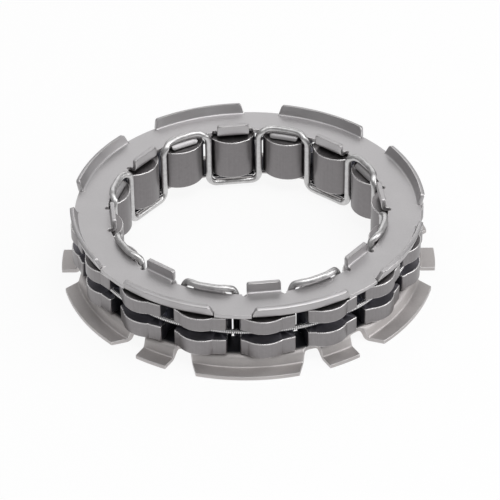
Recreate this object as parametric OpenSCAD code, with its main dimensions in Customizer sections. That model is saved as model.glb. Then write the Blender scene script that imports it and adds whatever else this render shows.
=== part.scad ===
// Sprag starter clutch: two stamped cage plates, sixteen sprags between them,
// one serpentine wire that clips the plates together through the gaps between
// the sprags, and one garter spring round the outside in the sprags' grooves.
// Millimetres. The origin is on the clutch's axis, at the flange's underside.

/* [Sheet metal] */
// Thickness of both stamped plates
sheet_t = 0.8; // [0.6:0.1:1.0]
// Inside radius of the bends in both plates
bend_r = 0.4; // [0.3:0.1:0.6]

/* [Upper plate] */
// Radius of the plain outer edge, seen in the notches
rim_r = 33.0; // [32.6:0.1:33.4]
// Radius at which the rim starts to bend up into the lips
lip_bend_r = 32.1; // [31.8:0.1:32.3]
// Height of the lips above the plate's top face
lip_h = 1.7; // [1.2:0.1:2.2]
// Outward lean of the lips from upright, in degrees
lip_lean = 18; // [10:1:25]
// Width of the notches between the lips, at the plate
notch_w = 6.3; // [5.0:0.1:7.5]
// Slant of the lips' ends from upright, in degrees
lip_end_slant = 20; // [10:1:30]
// Rounding of the lips' top corners
lip_corner_r = 0.8; // [0.4:0.1:1.0]

/* [Inner tabs] */
// Width of the tabs that stand up from the upper plate's inner edge
up_tab_w = 6.3; // [5.0:0.1:6.6]
// Height of those tabs above the plate's top face
up_tab_h = 1.9; // [1.4:0.1:2.4]
// Width of the short tabs that turn down under the wire's crowns
down_tab_w = 5.6; // [4.6:0.1:6.0]
// How far those tabs reach below the plate's underside
down_tab_h = 0.15; // [0.05:0.05:0.2]
// How far the tabs' inward faces lie inside the plate's inner edge
tab_reach = 1.4; // [1.3:0.05:1.5]
// Rounding of the tabs' free corners
tab_corner_r = 0.5; // [0.2:0.1:0.8]
// Width of the relief slots at the upright tabs' ends
relief_w = 0.9; // [0.7:0.1:1.1]
// Depth of the relief slots from the plate's inner edge
relief_depth = 0.4; // [0.3:0.05:0.7]

/* [Lower plate] */
// Radius at which the step down to the flange starts
step_start_r = 31.6; // [31.2:0.1:31.9]
// Lean of the step's wall from upright, in degrees
step_lean = 20; // [10:1:25]
// Height from the flange's top face to the flat's top face
step_h = 2.15; // [1.8:0.05:2.6]
// Distance of the gaps' roots from the step's start
root_reach = 0.2; // [0.15:0.05:0.6]
// Distance from the gaps' roots to the flange's outer edge
flange_w = 4.2; // [3.7:0.1:4.8]
// Rounding in the corners of the gaps
gap_corner_r = 1.1; // [0.8:0.1:1.4]
// Number of flange tabs, and of the wide segments between them
flange_tabs = 6; // [6]
// Width of a flange tab
flange_tab_w = 6.4; // [5.6:0.1:7.2]
// Width of a wide segment at its root
segment_w = 21.0; // [20.0:0.1:22.0]
// Slant of a wide segment's ends towards its middle, in degrees
segment_slant = 11.8; // [8:0.1:16]
// Reach of the lugs over the wire, inside the plate's inner edge
lug_reach = 1.75; // [1.5:0.05:1.9]
// Width of those lugs
lug_w = 6.0; // [5.0:0.1:6.4]

/* [Sprags] */
// Number of sprags
sprag_count = 16; // [16]
// Length of a sprag along the clutch's axis
sprag_l = 8.35; // [8.0:0.05:9.0]
// Radius at which the inner cams touch the inner race
inner_reach_r = 23.8; // [23.6:0.05:24.0]
// Radius of the inner cam's curve
inner_cam_r = 5.2; // [5.0:0.05:5.3]
// Width of the inner cam
inner_cam_w = 8.8; // [8.4:0.1:9.0]
// Radius at which the outer cams touch the outer race
outer_reach_r = 33.8; // [33.6:0.05:34.0]
// Radius of the outer cam's curve
outer_cam_r = 5.0; // [4.8:0.1:5.3]
// Sideways offset of the outer cam's centre from the inner cam's
cam_offset = 0.45; // [0.3:0.05:0.7]
// Width of a sprag's outer end
sprag_w = 10.2; // [9.6:0.1:10.4]
// Distance from the axis to the corner on the cam's steep side
steep_corner_x = 31.75; // [31.5:0.05:32.0]
// Distance from the axis to the corner of the lug
lug_corner_x = 32.2; // [32.0:0.05:32.4]
// Side position of the crease between the outer cam and the lug
crease_y = 2.55; // [2.2:0.05:2.9]
// Side position where the outer cam's curve ends on its steep side
steep_y = 3.9; // [3.5:0.1:4.2]
// Depth of the hollows in the sprag's flanks
waist_depth = 0.55; // [0.3:0.05:0.7]
// Radius of those hollows
waist_r = 3.2; // [2.8:0.1:3.6]
// How far inwards of the flanks' middle the hollows sit
waist_shift = 0.6; // [0.4:0.1:0.8]

/* [Garter spring] */
// Outside diameter of the spring's coil
coil_d = 1.0; // [0.8:0.1:1.2]
// Radius of the coil's centreline round the clutch
coil_ring_r = 31.2; // [31.1:0.05:31.4]
// Height of the groove in the sprags
groove_h = 2.2; // [1.8:0.1:2.6]
// Height of the sprag below the groove
groove_base = 3.3; // [3.0:0.05:3.6]
// Radius of the groove's rolling floor
groove_floor_r = 8.0; // [7.0:0.5:9.0]

/* [Retaining wire] */
// Diameter of the wire
wire_d = 1.3; // [1.1:0.05:1.35]
// Radius of the circle that the wire's upright legs stand on
leg_ring_r = 25.7; // [25.6:0.05:25.8]
// Outward lean of the crowns' middles from the leg circle
crown_lean = 0.9; // [0.7:0.1:1.1]
// Gap between a crown and the upper plate's top face
crown_lift = 0.55; // [0.45:0.05:0.7]
// Radius of the bends between legs and runs, at the centreline
wire_bend_r = 2.2; // [1.9:0.05:2.3]
// Height above the upper plate's top face at which the crowns start to lean out
lean_rise = 0.1; // [0.05:0.05:0.3]

/* [Clearances] */
// Gap between the wire's legs and the plates' inner edges
leg_gap = 0.3; // [0.3:0.05:0.6]
// Gap between the sprags' ends and the lower plate
end_gap = 0.25; // [0.2:0.05:0.4]
// Gap between the sprags' ends and the tabs turned down over them
tab_gap = 0.2; // [0.15:0.05:0.3]
// Gap between the garter spring and the groove's floor
floor_gap = 0.15; // [0.12:0.01:0.3]
// Gap between the wire's lower runs and the lugs above them
run_gap = 0.05; // [0.03:0.01:0.1]

/* [Hidden] */
$fn = 96;
sprag_step = 360 / sprag_count;
notch_count = sprag_count / 2;
first_sprag_a = 6.75;
first_notch_a = first_sprag_a - sprag_step / 2;
bend_steps = 5;
cut = 1;
// Rise of a rounding past the edge that it meets, so that no sliver is left
skim = 0.05;

// The plates' inner edges, and what is set out from them
plate_in_r = leg_ring_r + wire_d / 2 + leg_gap;
tab_face_x = plate_in_r - tab_reach;
relief_reach_r = plate_in_r + relief_depth;
lug_x = plate_in_r - lug_reach;
gap_root_r = step_start_r + root_reach;
flange_r = gap_root_r + flange_w;

// Levels along the axis, from the flange's underside upwards
flat_bottom_z = step_h;
flat_top_z = step_h + sheet_t;
sprag_bottom_z = flat_top_z + end_gap;
sprag_top_z = sprag_bottom_z + sprag_l;
upper_z = sprag_top_z + tab_gap + down_tab_h;
upper_top_z = upper_z + sheet_t;
groove_z = sprag_bottom_z + groove_base;
coil_z = groove_z + groove_h / 2;

// Sprag geometry, in a frame whose X runs outwards through the sprag
pivot_r = inner_reach_r + inner_cam_r;
outer_cam_x = outer_reach_r - outer_cam_r;
inner_corner_x = pivot_r - sqrt(pow(inner_cam_r, 2) - pow(inner_cam_w / 2, 2));
groove_floor_x = coil_ring_r - coil_d / 2 - floor_gap - groove_floor_r;

// Wire geometry, in the same frame
leg_x = leg_ring_r * cos(sprag_step / 2);
leg_y = leg_ring_r * sin(sprag_step / 2);
crown_r = leg_ring_r + crown_lean;
crown_z = upper_top_z + crown_lift + wire_d / 2;
run_z = flat_bottom_z - run_gap - wire_d / 2;
wire_mid_z = (crown_z + run_z) / 2;
wire_sides = 10;
wire_bend_steps = 6;
crown_steps = 3;

// Points along an arc, from angle a0 to angle a1
function arc(cx, cy, r, a0, a1, steps) =
  [for (i = [0 : steps])
    let (a = a0 + (a1 - a0) * i / steps)
    [cx + r * cos(a), cy + r * sin(a)]];

// Places its children at every second sprag, from the first or the second one
module at_alternate_sprags(first) {
  for (i = [first : 2 : sprag_count - 1])
    rotate([0, 0, first_sprag_a + i * sprag_step]) children();
}

// A flat ring of sheet
module sheet_ring(r_out, r_in) {
  linear_extrude(sheet_t)
    difference() {
      circle(r = r_out);
      circle(r = r_in);
    }
}

// Rim of the upper plate, bent up and leaning out, as a section to revolve
module lip_section() {
  bend = 90 - lip_lean;
  out_r = bend_r + sheet_t;
  cz = out_r;
  // End of the bend on the outer face, and the straight run up from it
  ex = lip_bend_r + out_r * sin(bend);
  ez = cz - out_r * cos(bend);
  run = (sheet_t + lip_h - ez) / sin(bend);
  tx = ex + run * cos(bend);
  tz = ez + run * sin(bend);
  polygon(concat(
    arc(lip_bend_r, cz, out_r, -90, -90 + bend, bend_steps),
    [[tx, tz], [tx - sheet_t * sin(bend), tz + sheet_t * cos(bend)]],
    arc(lip_bend_r, cz, bend_r, -90 + bend, -90, bend_steps)
  ));
}

// Opening between two lips, seen along the radius, rounded into the lips' tops
module notch_outline() {
  half = notch_w / 2;
  rise = sheet_t + lip_h + sheet_t * sin(lip_lean);
  lean = tan(lip_end_slant);
  round_a = 90 - lip_end_slant;
  // Centre of the rounding, which lies inside the lip
  cz = rise + skim - lip_corner_r;
  cx = half + cz * lean + lip_corner_r / cos(lip_end_slant);
  flank = concat(
    [[half, -cut]],
    [[half, 0]],
    arc(cx, cz, lip_corner_r, 90 + round_a, 90, bend_steps),
    [[cx, rise + skim + cut]]
  );
  polygon(concat(
    flank,
    [for (i = [len(flank) - 1 : -1 : 0]) [-flank[i][0], flank[i][1]]]
  ));
}

// The notches between the lips, as solids that reach in to the bend's start
module notches() {
  for (i = [0 : notch_count - 1])
    rotate([0, 0, first_notch_a + 2 * i * sprag_step])
      translate([lip_bend_r - cut / 2, 0, 0])
        rotate([90, 0, 90])
          linear_extrude(flange_r) notch_outline();
}

// Rounded outline of a tab, seen along the radius, that reaches from z0 to z1
module tab_outline(w, z0, z1) {
  r = min(tab_corner_r, (z1 - z0) / 2);
  polygon(concat(
    [[-w / 2, z0], [w / 2, z0]],
    arc(w / 2 - r, z1 - r, r, 0, 90, bend_steps),
    arc(-w / 2 + r, z1 - r, r, 90, 180, bend_steps)
  ));
}

// Section of a tab that bends up from the sheet, its flat end joining the plate
module tab_section(h) {
  out_r = bend_r + sheet_t;
  bx = tab_face_x + out_r;
  top = sheet_t + h;
  polygon(concat(
    [[relief_reach_r, 0]],
    arc(bx, out_r, out_r, -90, -180, bend_steps),
    [[tab_face_x, top], [tab_face_x + sheet_t, top]],
    arc(bx, out_r, bend_r, -180, -90, bend_steps),
    [[relief_reach_r, sheet_t]]
  ));
}

// A tab of width w that stands h above the sheet's top face
module tab(w, h) {
  intersection() {
    rotate([90, 0, 0])
      linear_extrude(w, center = true) tab_section(h);
    rotate([90, 0, 90])
      linear_extrude(flange_r) tab_outline(w, -cut, sheet_t + h);
  }
}

// Relief slots at both ends of a tab of width w
module reliefs(w) {
  for (side = [-1, 1])
    translate([0, side * (w + relief_w) / 2, -cut])
      linear_extrude(sheet_t + 2 * cut) {
        translate([relief_reach_r - relief_w / 2, 0]) circle(d = relief_w, $fn = 32);
        translate([tab_face_x - cut, -relief_w / 2])
          square([relief_reach_r - relief_w / 2 - tab_face_x + cut, relief_w]);
      }
}

module upper_plate() {
  color("silver")
    translate([0, 0, upper_z]) {
      difference() {
        union() {
          sheet_ring(lip_bend_r, plate_in_r);
          // The plain rim in the notches
          intersection() {
            sheet_ring(rim_r, lip_bend_r);
            notches();
          }
        }
        at_alternate_sprags(0) reliefs(up_tab_w);
      }
      difference() {
        rotate_extrude() lip_section();
        notches();
      }
      at_alternate_sprags(0) tab(up_tab_w, up_tab_h);
      at_alternate_sprags(1)
        translate([0, 0, sheet_t]) mirror([0, 0, 1]) tab(down_tab_w, down_tab_h);
    }
}

// The lower plate's section: flat, leaning step and flange. The flat reaches in
// past the lugs, and the bore is cut through it
module step_section() {
  lean = 90 - step_lean;
  out_r = bend_r + sheet_t;
  // Both bends turn through the same angle, so the wall lies between them
  upper_c = [step_start_r, flat_top_z - out_r];
  drop = step_h - (out_r + bend_r) * (1 - cos(lean));
  wall = drop / sin(lean);
  wall_x = wall * cos(lean);
  lower_x = step_start_r + (out_r + bend_r) * sin(lean) + wall_x;
  lower_c = [lower_x, out_r];
  polygon(concat(
    [[lug_x - cut, flat_bottom_z], [lug_x - cut, flat_top_z]],
    arc(upper_c[0], upper_c[1], out_r, 90, 90 - lean, bend_steps),
    arc(lower_c[0], lower_c[1], bend_r, 270 - lean, 270, bend_steps),
    [[flange_r, sheet_t], [flange_r, 0]],
    arc(lower_c[0], lower_c[1], out_r, 270, 270 - lean, bend_steps),
    arc(upper_c[0], upper_c[1], bend_r, 90 - lean, 90, bend_steps)
  ));
}

// One gap in the flange, between a tab centred on X and the next wide segment
module flange_gap() {
  q = gap_corner_r;
  half_tab = flange_tab_w / 2;
  // Centre of the rounding beside the tab
  c1 = [sqrt(pow(gap_root_r + q, 2) - pow(half_tab + q, 2)), half_tab + q];
  // The segment's end line, in the segment's own frame, and the rounding beside it
  turn = 180 / flange_tabs;
  hw = segment_w / 2;
  start = [sqrt(pow(gap_root_r, 2) - pow(hw, 2)), -hw];
  d = [cos(segment_slant), sin(segment_slant)];
  n = [sin(segment_slant), -cos(segment_slant)];
  p = start + q * n;
  along = -(p * d) + sqrt(pow(p * d, 2) - p * p + pow(gap_root_r + q, 2));
  centre = p + along * d;
  c2 = spin(centre, turn);
  far = spin(centre - q * n + (flange_w + 2 * cut) * d, turn);
  // Each rounding turns from its straight side to the root, where the two nearly meet
  root1 = 180 + atan2(c1[1], c1[0]);
  root2 = 180 + atan2(c2[1], c2[0]);
  polygon(concat(
    [far, [flange_r + 2 * cut, far[1]], [flange_r + 2 * cut, half_tab]],
    arc(c1[0], c1[1], q, 270, root1, bend_steps),
    arc(c2[0], c2[1], q, root2, turn + 90 + segment_slant, bend_steps)
  ));
}

// A point turned about the axis
function spin(v, a) = [v[0] * cos(a) - v[1] * sin(a), v[0] * sin(a) + v[1] * cos(a)];

// The bore, with the lugs that reach in over the wire's lower runs
module bore_outline() {
  difference() {
    circle(r = plate_in_r);
    at_alternate_sprags(0)
      translate([lug_x, -lug_w / 2]) square([plate_in_r + cut - lug_x, lug_w]);
  }
}

module lower_plate() {
  color("slategray")
    difference() {
      rotate_extrude() step_section();
      translate([0, 0, flat_bottom_z - cut])
        linear_extrude(sheet_t + 2 * cut) bore_outline();
      for (i = [0 : flange_tabs - 1])
        rotate([0, 0, i * 360 / flange_tabs])
          for (side = [0, 1])
            mirror([0, side, 0])
              translate([0, 0, -cut])
                linear_extrude(flat_top_z + 2 * cut) flange_gap();
    }
}

// The wire's centreline over one sprag, from the middle of one leg to just
// before the middle of the next. side is 1 for a crown and -1 for a lower run
function wire_run(side) =
  let (
    end_z = side > 0 ? crown_z : run_z,
    cz = end_z - side * wire_bend_r,
    cy = leg_y - wire_bend_r,
    lean = side > 0 ? crown_r - leg_x : 0,
    steps = side > 0 ? crown_steps : 1,
    // Side position, height, and the way along the wire from the bend's start
    bend = [for (i = [0 : wire_bend_steps])
      let (a = 90 * i / wire_bend_steps)
      [-cy - wire_bend_r * cos(a), cz + side * wire_bend_r * sin(a), arc_length(a)]],
    half = concat(
      bend,
      [for (i = [1 : steps]) [cy * (i / steps - 1), end_z, arc_length(90) + cy * i / steps]]
    ),
    n = len(half),
    path = concat(
      [[-leg_y, wire_mid_z, 0]],
      half,
      [for (i = [n - 2 : -1 : 0]) [-half[i][0], half[i][1], half[i][2]]]
    )
  )
  [for (q = path) [leg_x + lean * lean_share(q[2]), q[0], q[1]]];

// Length of the wire round a bend, at the centreline
function arc_length(a) = wire_bend_r * a * PI / 180;

// Share of a crown's outward lean that the wire has reached, after the way s
// along it from its bend's start
function lean_share(s) =
  let (
    rise = upper_top_z + lean_rise - crown_z + wire_bend_r,
    start = arc_length(asin(rise / wire_bend_r)),
    end = arc_length(90) + leg_y - wire_bend_r,
    t = max(0, min(1, (s - start) / (end - start)))
  )
  t * t * (3 - 2 * t);

function unit(v) = v / norm(v);

module retaining_wire() {
  path = [
    for (i = [0 : sprag_count - 1])
      let (a = first_sprag_a + i * sprag_step, side = i % 2 == 0 ? -1 : 1)
        for (p = wire_run(side))
          let (q = spin([p[0], p[1]], a)) [q[0], q[1], p[2]]
  ];
  n = len(path);
  rings = [
    for (i = [0 : n - 1])
      let (
        p = path[i],
        t = unit(path[(i + 1) % n] - path[(i + n - 1) % n]),
        out = [p[0], p[1], 0],
        u = unit(out - (out * t) * t),
        v = cross(t, u)
      )
        for (k = [0 : wire_sides - 1])
          let (a = 360 * k / wire_sides)
            p + wire_d / 2 * (cos(a) * u + sin(a) * v)
  ];
  faces = [
    for (i = [0 : n - 1], k = [0 : wire_sides - 1])
      let (j = (i + 1) % n, m = (k + 1) % wire_sides)
        [i * wire_sides + k, j * wire_sides + k, j * wire_sides + m, i * wire_sides + m]
  ];
  color("gainsboro") polyhedron(points = rings, faces = faces);
}

module garter_spring() {
  color("darkgray")
    translate([0, 0, coil_z])
      rotate_extrude()
        translate([coil_ring_r, 0]) circle(d = coil_d, $fn = 32);
}

// A sprag's outline: inner cam, hollow flanks, outer cam, crease and lug
module sprag_outline() {
  half = sprag_w / 2;
  hi = inner_cam_w / 2;
  steep_x = outer_cam_x + sqrt(pow(outer_cam_r, 2) - pow(steep_y - cam_offset, 2));
  crease_x = outer_cam_x + sqrt(pow(outer_cam_r, 2) - pow(crease_y + cam_offset, 2));
  waist_x = (inner_corner_x + steep_corner_x) / 2 - waist_shift;
  difference() {
    union() {
      intersection() {
        translate([pivot_r, 0]) circle(r = inner_cam_r);
        translate([inner_reach_r - cut, -hi])
          square([inner_corner_x - inner_reach_r + 2 * cut, inner_cam_w]);
      }
      polygon([
        [inner_corner_x, -hi], [steep_corner_x, -half], [steep_x, -steep_y],
        [outer_cam_x, -cam_offset], [crease_x, crease_y], [lug_corner_x, half],
        [inner_corner_x, hi]
      ]);
      intersection() {
        translate([outer_cam_x, -cam_offset]) circle(r = outer_cam_r);
        translate([outer_cam_x, -steep_y])
          square([outer_cam_r + cut, steep_y + crease_y]);
      }
    }
    for (side = [-1, 1])
      translate([waist_x, side * ((hi + half) / 2 - waist_depth + waist_r)])
        circle(r = waist_r);
  }
}

// One sprag, at its place round the clutch
module sprag(i) {
  color(i % 2 == 0 ? "dimgray" : "gray")
    rotate([0, 0, first_sprag_a + (i - 1) * sprag_step])
      translate([0, 0, sprag_bottom_z])
        difference() {
          linear_extrude(sprag_l) sprag_outline();
          // The groove, whose floor rolls under the garter spring
          translate([0, 0, groove_base])
            linear_extrude(groove_h)
              difference() {
                translate([pivot_r - inner_cam_r / 2, -sprag_w])
                  square([outer_reach_r, 2 * sprag_w]);
                translate([groove_floor_x, 0]) circle(r = groove_floor_r);
              }
        }
}

upper_plate();
lower_plate();
retaining_wire();
garter_spring();
sprag(1);  // sprag_01
sprag(2);  // sprag_02
sprag(3);  // sprag_03
sprag(4);  // sprag_04
sprag(5);  // sprag_05
sprag(6);  // sprag_06
sprag(7);  // sprag_07
sprag(8);  // sprag_08
sprag(9);  // sprag_09
sprag(10);  // sprag_10
sprag(11);  // sprag_11
sprag(12);  // sprag_12
sprag(13);  // sprag_13
sprag(14);  // sprag_14
sprag(15);  // sprag_15
sprag(16);  // sprag_16
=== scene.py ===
"""Looks of the sprag starter clutch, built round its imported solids."""

from math import asin, atan2, cos, degrees, hypot, pi, radians, sin, sqrt, tan

import bmesh
import bpy
from mathutils import Matrix, Vector


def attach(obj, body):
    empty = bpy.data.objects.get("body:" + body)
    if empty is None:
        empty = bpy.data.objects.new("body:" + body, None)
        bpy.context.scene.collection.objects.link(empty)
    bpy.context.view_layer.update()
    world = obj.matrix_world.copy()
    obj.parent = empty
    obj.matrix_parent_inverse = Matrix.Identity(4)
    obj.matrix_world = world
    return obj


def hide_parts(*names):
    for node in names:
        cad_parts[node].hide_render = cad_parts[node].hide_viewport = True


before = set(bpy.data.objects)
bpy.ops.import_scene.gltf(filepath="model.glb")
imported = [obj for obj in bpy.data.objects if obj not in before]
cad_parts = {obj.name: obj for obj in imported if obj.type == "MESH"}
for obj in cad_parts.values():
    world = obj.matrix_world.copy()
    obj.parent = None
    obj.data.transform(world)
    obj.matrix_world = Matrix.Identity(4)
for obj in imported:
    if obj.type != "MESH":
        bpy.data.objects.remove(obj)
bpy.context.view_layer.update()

MM = 0.001

# Lengths in millimetres and angles in degrees, with the origin on the axis at the flange's
# underside. They are the solids' own, apart from the wire's crowns and low bends and the lugs over
# the low runs, which follow the photograph more closely.
SHEET = 0.8
BEND_IN = 0.4
BEND_OUT = BEND_IN + SHEET
PLATE_IN_R = 26.65

RIM_R = 33.0
LIP_BEND_R = 32.1
LIP_H = 1.7
LIP_TURN = 72.0
NOTCH_HALF = 3.15
LIP_END_SLANT = 20.0
LIP_CORNER_R = 0.8
LIP_CORNER_SKIM = 0.05

UP_TAB_W = 6.3
UP_TAB_H = 1.9
DOWN_TAB_W = 5.6
DOWN_TAB_H = 0.15
TAB_REACH = 1.4
TAB_BEND_X = PLATE_IN_R - TAB_REACH + BEND_OUT
TAB_CORNER_R = 0.5
RELIEF_W = 0.9
RELIEF_DEPTH = 0.4
RELIEF_REACH_R = PLATE_IN_R + RELIEF_DEPTH

STEP_START_R = 31.6
STEP_TURN = 70.0
STEP_H = 2.15
GAP_ROOT_R = 31.8
FLANGE_R = 36.0
GAP_CORNER_R = 1.1
FLANGE_TABS = 6
FLANGE_TAB_HALF = 3.2
SEGMENT_HALF = 10.5
SEGMENT_SLANT = 11.8
LUG_X = 24.9
LUG_HALF = 4.2
LUG_FOOT_HALF = 3.4

SPRAGS = 16
SPRAG_STEP = 360 / SPRAGS
FIRST_SPRAG_A = 6.75
FIRST_NOTCH_A = FIRST_SPRAG_A - SPRAG_STEP / 2
SPRAG_L = 8.35
INNER_CAM_R = 5.2
INNER_CAM_X = 29.0
INNER_HALF = 4.4
OUTER_CAM_R = 5.0
OUTER_CAM_X = 28.8
CAM_OFFSET = 0.45
OUTER_HALF = 5.1
STEEP_CORNER_X = 31.75
STEEP_CORNER_R = 0.45
LUG_CORNER_X = 32.2
LUG_CORNER_R = 0.3
LUG_FACE_L = 2.4
CREASE_Y = 2.55
CREASE_REACH = 0.13
CREASE_DEPTH = 0.07
STEEP_Y = 3.9
WAIST_DEPTH = 0.55
WAIST_R = 3.2
WAIST_SHIFT = 0.6
GROOVE_BASE = 3.3
GROOVE_TOP = 5.5
GROOVE_FLOOR_X = 22.55
GROOVE_FLOOR_R = 8.0

COIL_D = 1.0
COIL_RING_R = 31.2
COIL_WIRE_D = 0.31
COIL_PITCH = 0.375
WIRE_D = 1.3
LEG_RING_R = 25.7
CROWN_R = 26.4
CROWN_LIFT = 0.17
LEAN_RISE = 0.1
LEAN_SHARE = 0.6
LEAN_EASE = 4
CROWN_BEND_R = 2.2
LOW_BEND_R = 1.6

# Rubbed edges, and the turn past which an edge counts as sharp
SHEET_EDGE_W = 0.09
SPRAG_EDGE_W = 0.16
SHARP_A = 40

# Room left between the pieces, and the heights that follow
ROOM_UNDER_SPRAG = 0.25
ROOM_OVER_SPRAG = 0.2
ROOM_OVER_RUN = 0.05
FLAT_TOP_Z = STEP_H + SHEET
SPRAG_Z = FLAT_TOP_Z + ROOM_UNDER_SPRAG
UPPER_Z = SPRAG_Z + SPRAG_L + ROOM_OVER_SPRAG + DOWN_TAB_H
UPPER_TOP_Z = UPPER_Z + SHEET
COIL_Z = SPRAG_Z + (GROOVE_BASE + GROOVE_TOP) / 2
CROWN_Z = UPPER_TOP_Z + CROWN_LIFT + WIRE_D / 2
RUN_Z = STEP_H - ROOM_OVER_RUN - WIRE_D / 2

# The photograph's camera: lengths in pixels and millimetres, angles in degrees
PHOTO_PX = 500
FOCAL_PX = 2640
CAMERA_DISTANCE = 502.9
CAMERA_ELEVATION = 35.92
CAMERA_AZIMUTH = 0.63
CAMERA_ROLL = 0.7
TARGET_PX = (247.8, 208.5)


def turned(x, y, angle):
    """The point x, y turned about the axis by an angle in degrees."""
    c, s = cos(radians(angle)), sin(radians(angle))
    return x * c - y * s, x * s + y * c


def polar(r, angle):
    return turned(r, 0, angle)


def arc(cx, cy, r, first, last, steps):
    """Points on an arc about cx, cy, from one angle to another."""
    angles = [first + (last - first) * i / steps for i in range(steps + 1)]
    return [(cx + r * cos(radians(a)), cy + r * sin(radians(a))) for a in angles]


def spread(first, last, steps):
    """Evenly spaced values from first to last."""
    return [first + (last - first) * i / steps for i in range(steps + 1)]


def mesh_object(name, points, faces, materials, slots=None):
    """A smooth-shaded object from points in millimetres."""
    mesh = bpy.data.meshes.new(name)
    mesh.from_pydata([Vector(p) * MM for p in points], [], faces)
    for material in materials:
        mesh.materials.append(material)
    if slots:
        mesh.polygons.foreach_set("material_index", slots)
    mesh.validate()
    mesh.shade_smooth()
    made = bpy.data.objects.new(name, mesh)
    bpy.context.scene.collection.objects.link(made)
    return made


def soften_edges(piece, width, edge_slot, limit=None):
    """Rounds a piece's edges, those past an angle or else the marked ones, gives them their own
    finish, and keeps its faces flat."""
    bevel = piece.modifiers.new("broken edges", "BEVEL")
    bevel.width = width * MM
    bevel.segments = 2
    bevel.limit_method = "ANGLE" if limit else "WEIGHT"
    if limit:
        bevel.angle_limit = radians(limit)
    bevel.use_clamp_overlap = False
    bevel.material = edge_slot
    normals = piece.modifiers.new("flat faces", "WEIGHTED_NORMAL")
    normals.weight = 60
    normals.keep_sharp = True


class Sheet:
    """A pressed sheet: pairs of points on its two faces, and the faces between the pairs."""

    def __init__(self):
        self.upper, self.lower, self.faces, self.known = [], [], [], {}

    def point(self, pair):
        up, down = pair
        key = tuple(round(c, 3) for c in (*up, *down))
        if key not in self.known:
            self.known[key] = len(self.upper)
            self.upper.append(up)
            self.lower.append(down)
        return self.known[key]

    def face(self, pairs):
        """One face, turned so that it looks away from the sheet's lower side."""
        ring = []
        for pair in pairs:
            i = self.point(pair)
            if not ring or i not in (ring[-1], ring[0]):
                ring.append(i)
        if len(ring) < 3:
            return
        normal = Vector((0, 0, 0))
        for a, b in zip(ring, ring[1:] + ring[:1]):
            normal += Vector(self.upper[a]).cross(Vector(self.upper[b]))
        out = sum((Vector(self.upper[i]) - Vector(self.lower[i]) for i in ring), Vector((0, 0, 0)))
        self.faces.append(ring if normal.dot(out) > 0 else ring[::-1])

    def patch(self, rows):
        """A grid of faces over rows of pairs."""
        for near, far in zip(rows, rows[1:]):
            for j in range(len(near) - 1):
                self.face([near[j], near[j + 1], far[j + 1], far[j]])

    def build(self, name, materials):
        """The closed sheet, with its cut edges."""
        n = len(self.upper)
        sides = {(a, b) for f in self.faces for a, b in zip(f, f[1:] + f[:1])}
        walls = [[b, a, a + n, b + n] for a, b in sorted(sides) if (b, a) not in sides]
        under = [[i + n for i in reversed(f)] for f in self.faces]
        return mesh_object(name, self.upper + self.lower, self.faces + under + walls, materials)


# The upper plate, in its own heights from its underside


def plate_pair(x, y, up_z, down_z, down_x=None):
    """A pair of points on a tab or lip, before it is turned to its place."""
    return (x, y, up_z), (x if down_x is None else down_x, y, down_z)


def at_plate(pairs, angle):
    """Pairs turned to an angle and lifted to the plate's height."""
    return [tuple((*turned(x, y, angle), z + UPPER_Z) for x, y, z in pair) for pair in pairs]


def notch_half(z):
    """Half the width of a notch at a height above the plate's underside."""
    lean = tan(radians(LIP_END_SLANT))
    rise = SHEET + LIP_H + SHEET * cos(radians(LIP_TURN))
    round_z = rise + LIP_CORNER_SKIM - LIP_CORNER_R
    round_y = NOTCH_HALF + round_z * lean + LIP_CORNER_R / cos(radians(LIP_END_SLANT))
    if z < round_z + LIP_CORNER_R * sin(radians(LIP_END_SLANT)):
        return NOTCH_HALF + z * lean
    return round_y - sqrt(max(0, LIP_CORNER_R**2 - (z - round_z) ** 2))


LIP_COLUMNS = 28


def rounding(start, top, steps):
    """Heights from start to top that close up towards the top, past start itself."""
    return [start + (top - start) * sin(pi / 2 * i / steps) for i in range(1, steps + 1)]


def lip_rows(k):
    """Rows of pairs over the lip between two notches, from the plate to its top edge."""
    stations = []
    for a in spread(-90, LIP_TURN - 90, 8):
        c, s = cos(radians(a)), sin(radians(a))
        stations.append((LIP_BEND_R + BEND_IN * c, BEND_OUT + BEND_IN * s, a))
    r, z, a = stations[-1]
    top = SHEET + LIP_H + SHEET * cos(radians(LIP_TURN))
    corner = top - LIP_CORNER_R
    heights = spread(z, corner, 4)[1:] + rounding(corner, top, 7)
    stations += [(r + (h - z) / tan(radians(LIP_TURN)), h, a) for h in heights]
    rows = []
    for r, z, a in stations:
        out_r, out_z = r + SHEET * cos(radians(a)), z + SHEET * sin(radians(a))
        offset = degrees(asin(notch_half(z) / r))
        start = FIRST_NOTCH_A + 2 * SPRAG_STEP * k
        row = []
        for angle in spread(start + offset, start + 2 * SPRAG_STEP - offset, LIP_COLUMNS):
            near = (*polar(r, angle), z + UPPER_Z)
            row.append((near, (*polar(out_r, angle), out_z + UPPER_Z)))
        rows.append(row)
    return rows


def free_corner(half, left):
    """Half width of a tab at a distance left below its free edge, round its corner."""
    if left > TAB_CORNER_R:
        return half
    return half - TAB_CORNER_R + sqrt(max(0, TAB_CORNER_R**2 - (TAB_CORNER_R - left) ** 2))


def tab_columns(half):
    return spread(-half, half, 8)


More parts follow.
